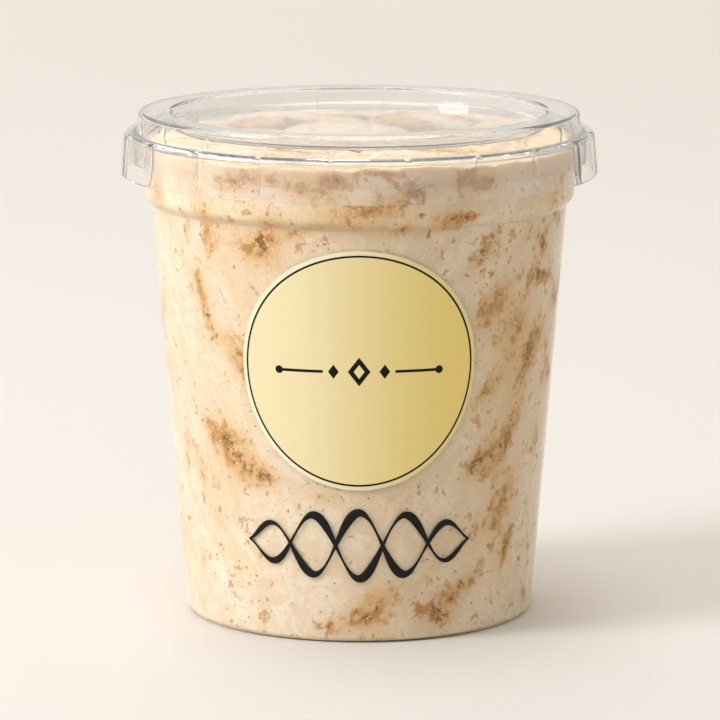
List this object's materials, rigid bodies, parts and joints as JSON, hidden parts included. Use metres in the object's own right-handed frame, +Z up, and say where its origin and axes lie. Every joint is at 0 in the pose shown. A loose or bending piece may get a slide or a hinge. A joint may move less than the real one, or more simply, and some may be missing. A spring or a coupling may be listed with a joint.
{
  "type": "ice cream tub",
  "caption": "Clear round plastic tub with a tapered wall and a press-on lid with a raised ring, filled with rippled ice cream, with a round gold label on its front.",
  "frame": {"origin": "Middle of the foot, on the floor: the bottom centre of the bounding box, on the tub's axis.", "axes": "+Z up along the tub's axis, -Y out of the middle of the label, +X to the right as the label is seen."},
  "size_m": [0.0998, 0.0998, 0.1061],
  "materials": {
    "tub_plastic": "clear moulded plastic, glossy",
    "lid_plastic": "clear moulded plastic, slightly hazy",
    "ice_cream": "soft matt frozen cream with caramel ripple",
    "label_foil": "satin pale gold, with a thin dark ring"
  },
  "bodies": {
    "root": {"tub": "tub_plastic", "lid": "lid_plastic", "ice_cream": "ice_cream", "label": "label_foil"}
  },
  "joints": []
}
